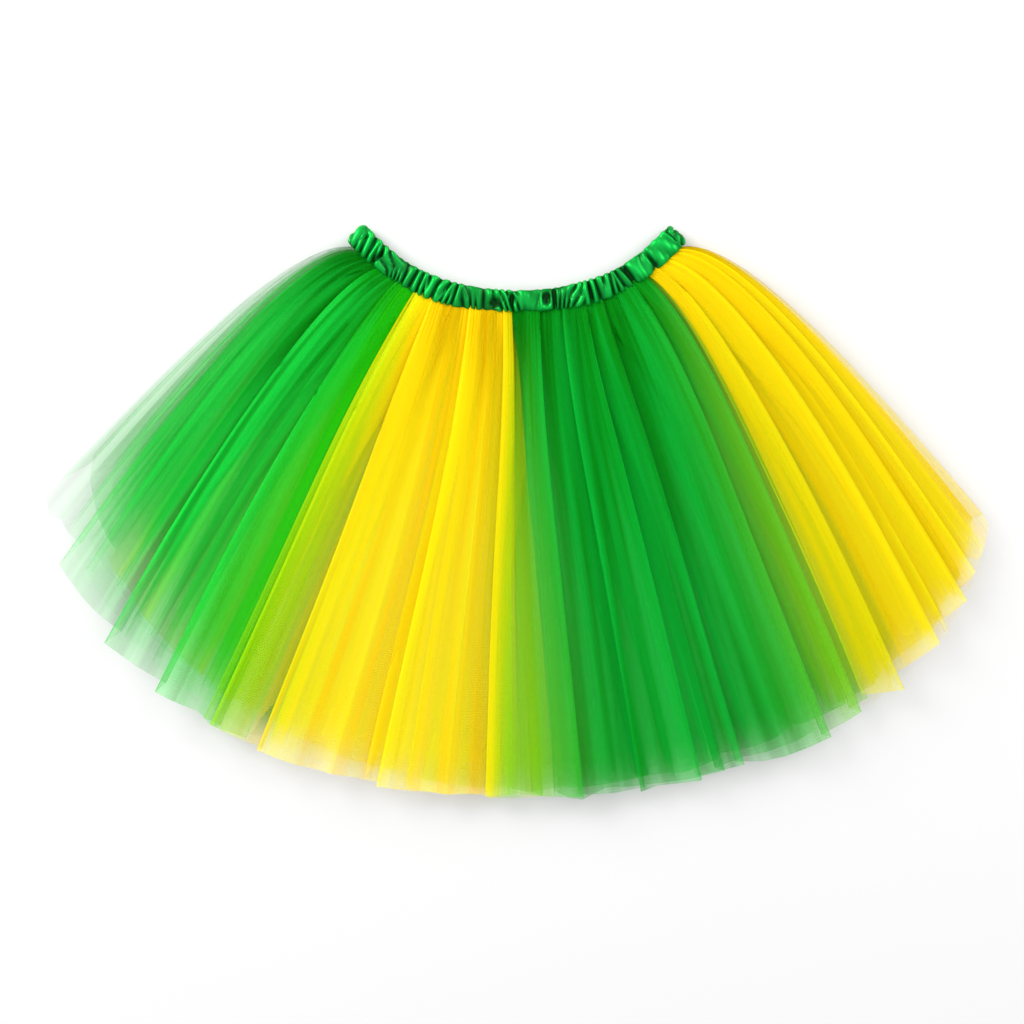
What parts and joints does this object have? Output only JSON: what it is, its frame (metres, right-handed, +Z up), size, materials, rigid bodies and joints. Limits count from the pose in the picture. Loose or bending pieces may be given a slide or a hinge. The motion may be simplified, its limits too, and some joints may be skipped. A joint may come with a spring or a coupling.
{
  "type": "tulle skirt",
  "caption": "Child's short gathered tulle skirt laid flat, with alternating green and yellow panels, a stepped raw hem and a ruched satin elastic waistband.",
  "frame": {"origin": "middle of the skirt's outline seen from above, on the surface that it lies on", "axes": "+X to the right of the front as it is seen, +Y from hem to waistband, +Z up out of the front"},
  "size_m": [0.5666, 0.3434, 0.0218],
  "materials": {
    "green_tulle": "soft sheer nylon net, slight sheen",
    "yellow_tulle": "soft sheer nylon net, slight sheen",
    "green_satin": "glossy polyester satin, ruched"
  },
  "bodies": {
    "root": {"waistband": "green_satin", "panel_green_left_front_outer": "green_tulle", "panel_green_left_front_inner": "green_tulle", "panel_yellow_centre_front_outer": "yellow_tulle", "panel_yellow_centre_front_inner": "yellow_tulle", "panel_green_right_front_outer": "green_tulle", "panel_green_right_front_inner": "green_tulle", "panel_yellow_right_front_outer": "yellow_tulle", "panel_yellow_right_front_inner": "yellow_tulle", "panel_green_left_back_outer": "green_tulle", "panel_green_left_back_inner": "green_tulle", "panel_yellow_back_outer": "yellow_tulle", "panel_yellow_back_inner": "yellow_tulle", "panel_green_back_outer": "green_tulle", "panel_green_back_inner": "green_tulle", "panel_yellow_right_back_outer": "yellow_tulle", "panel_yellow_right_back_inner": "yellow_tulle"}
  },
  "joints": []
}
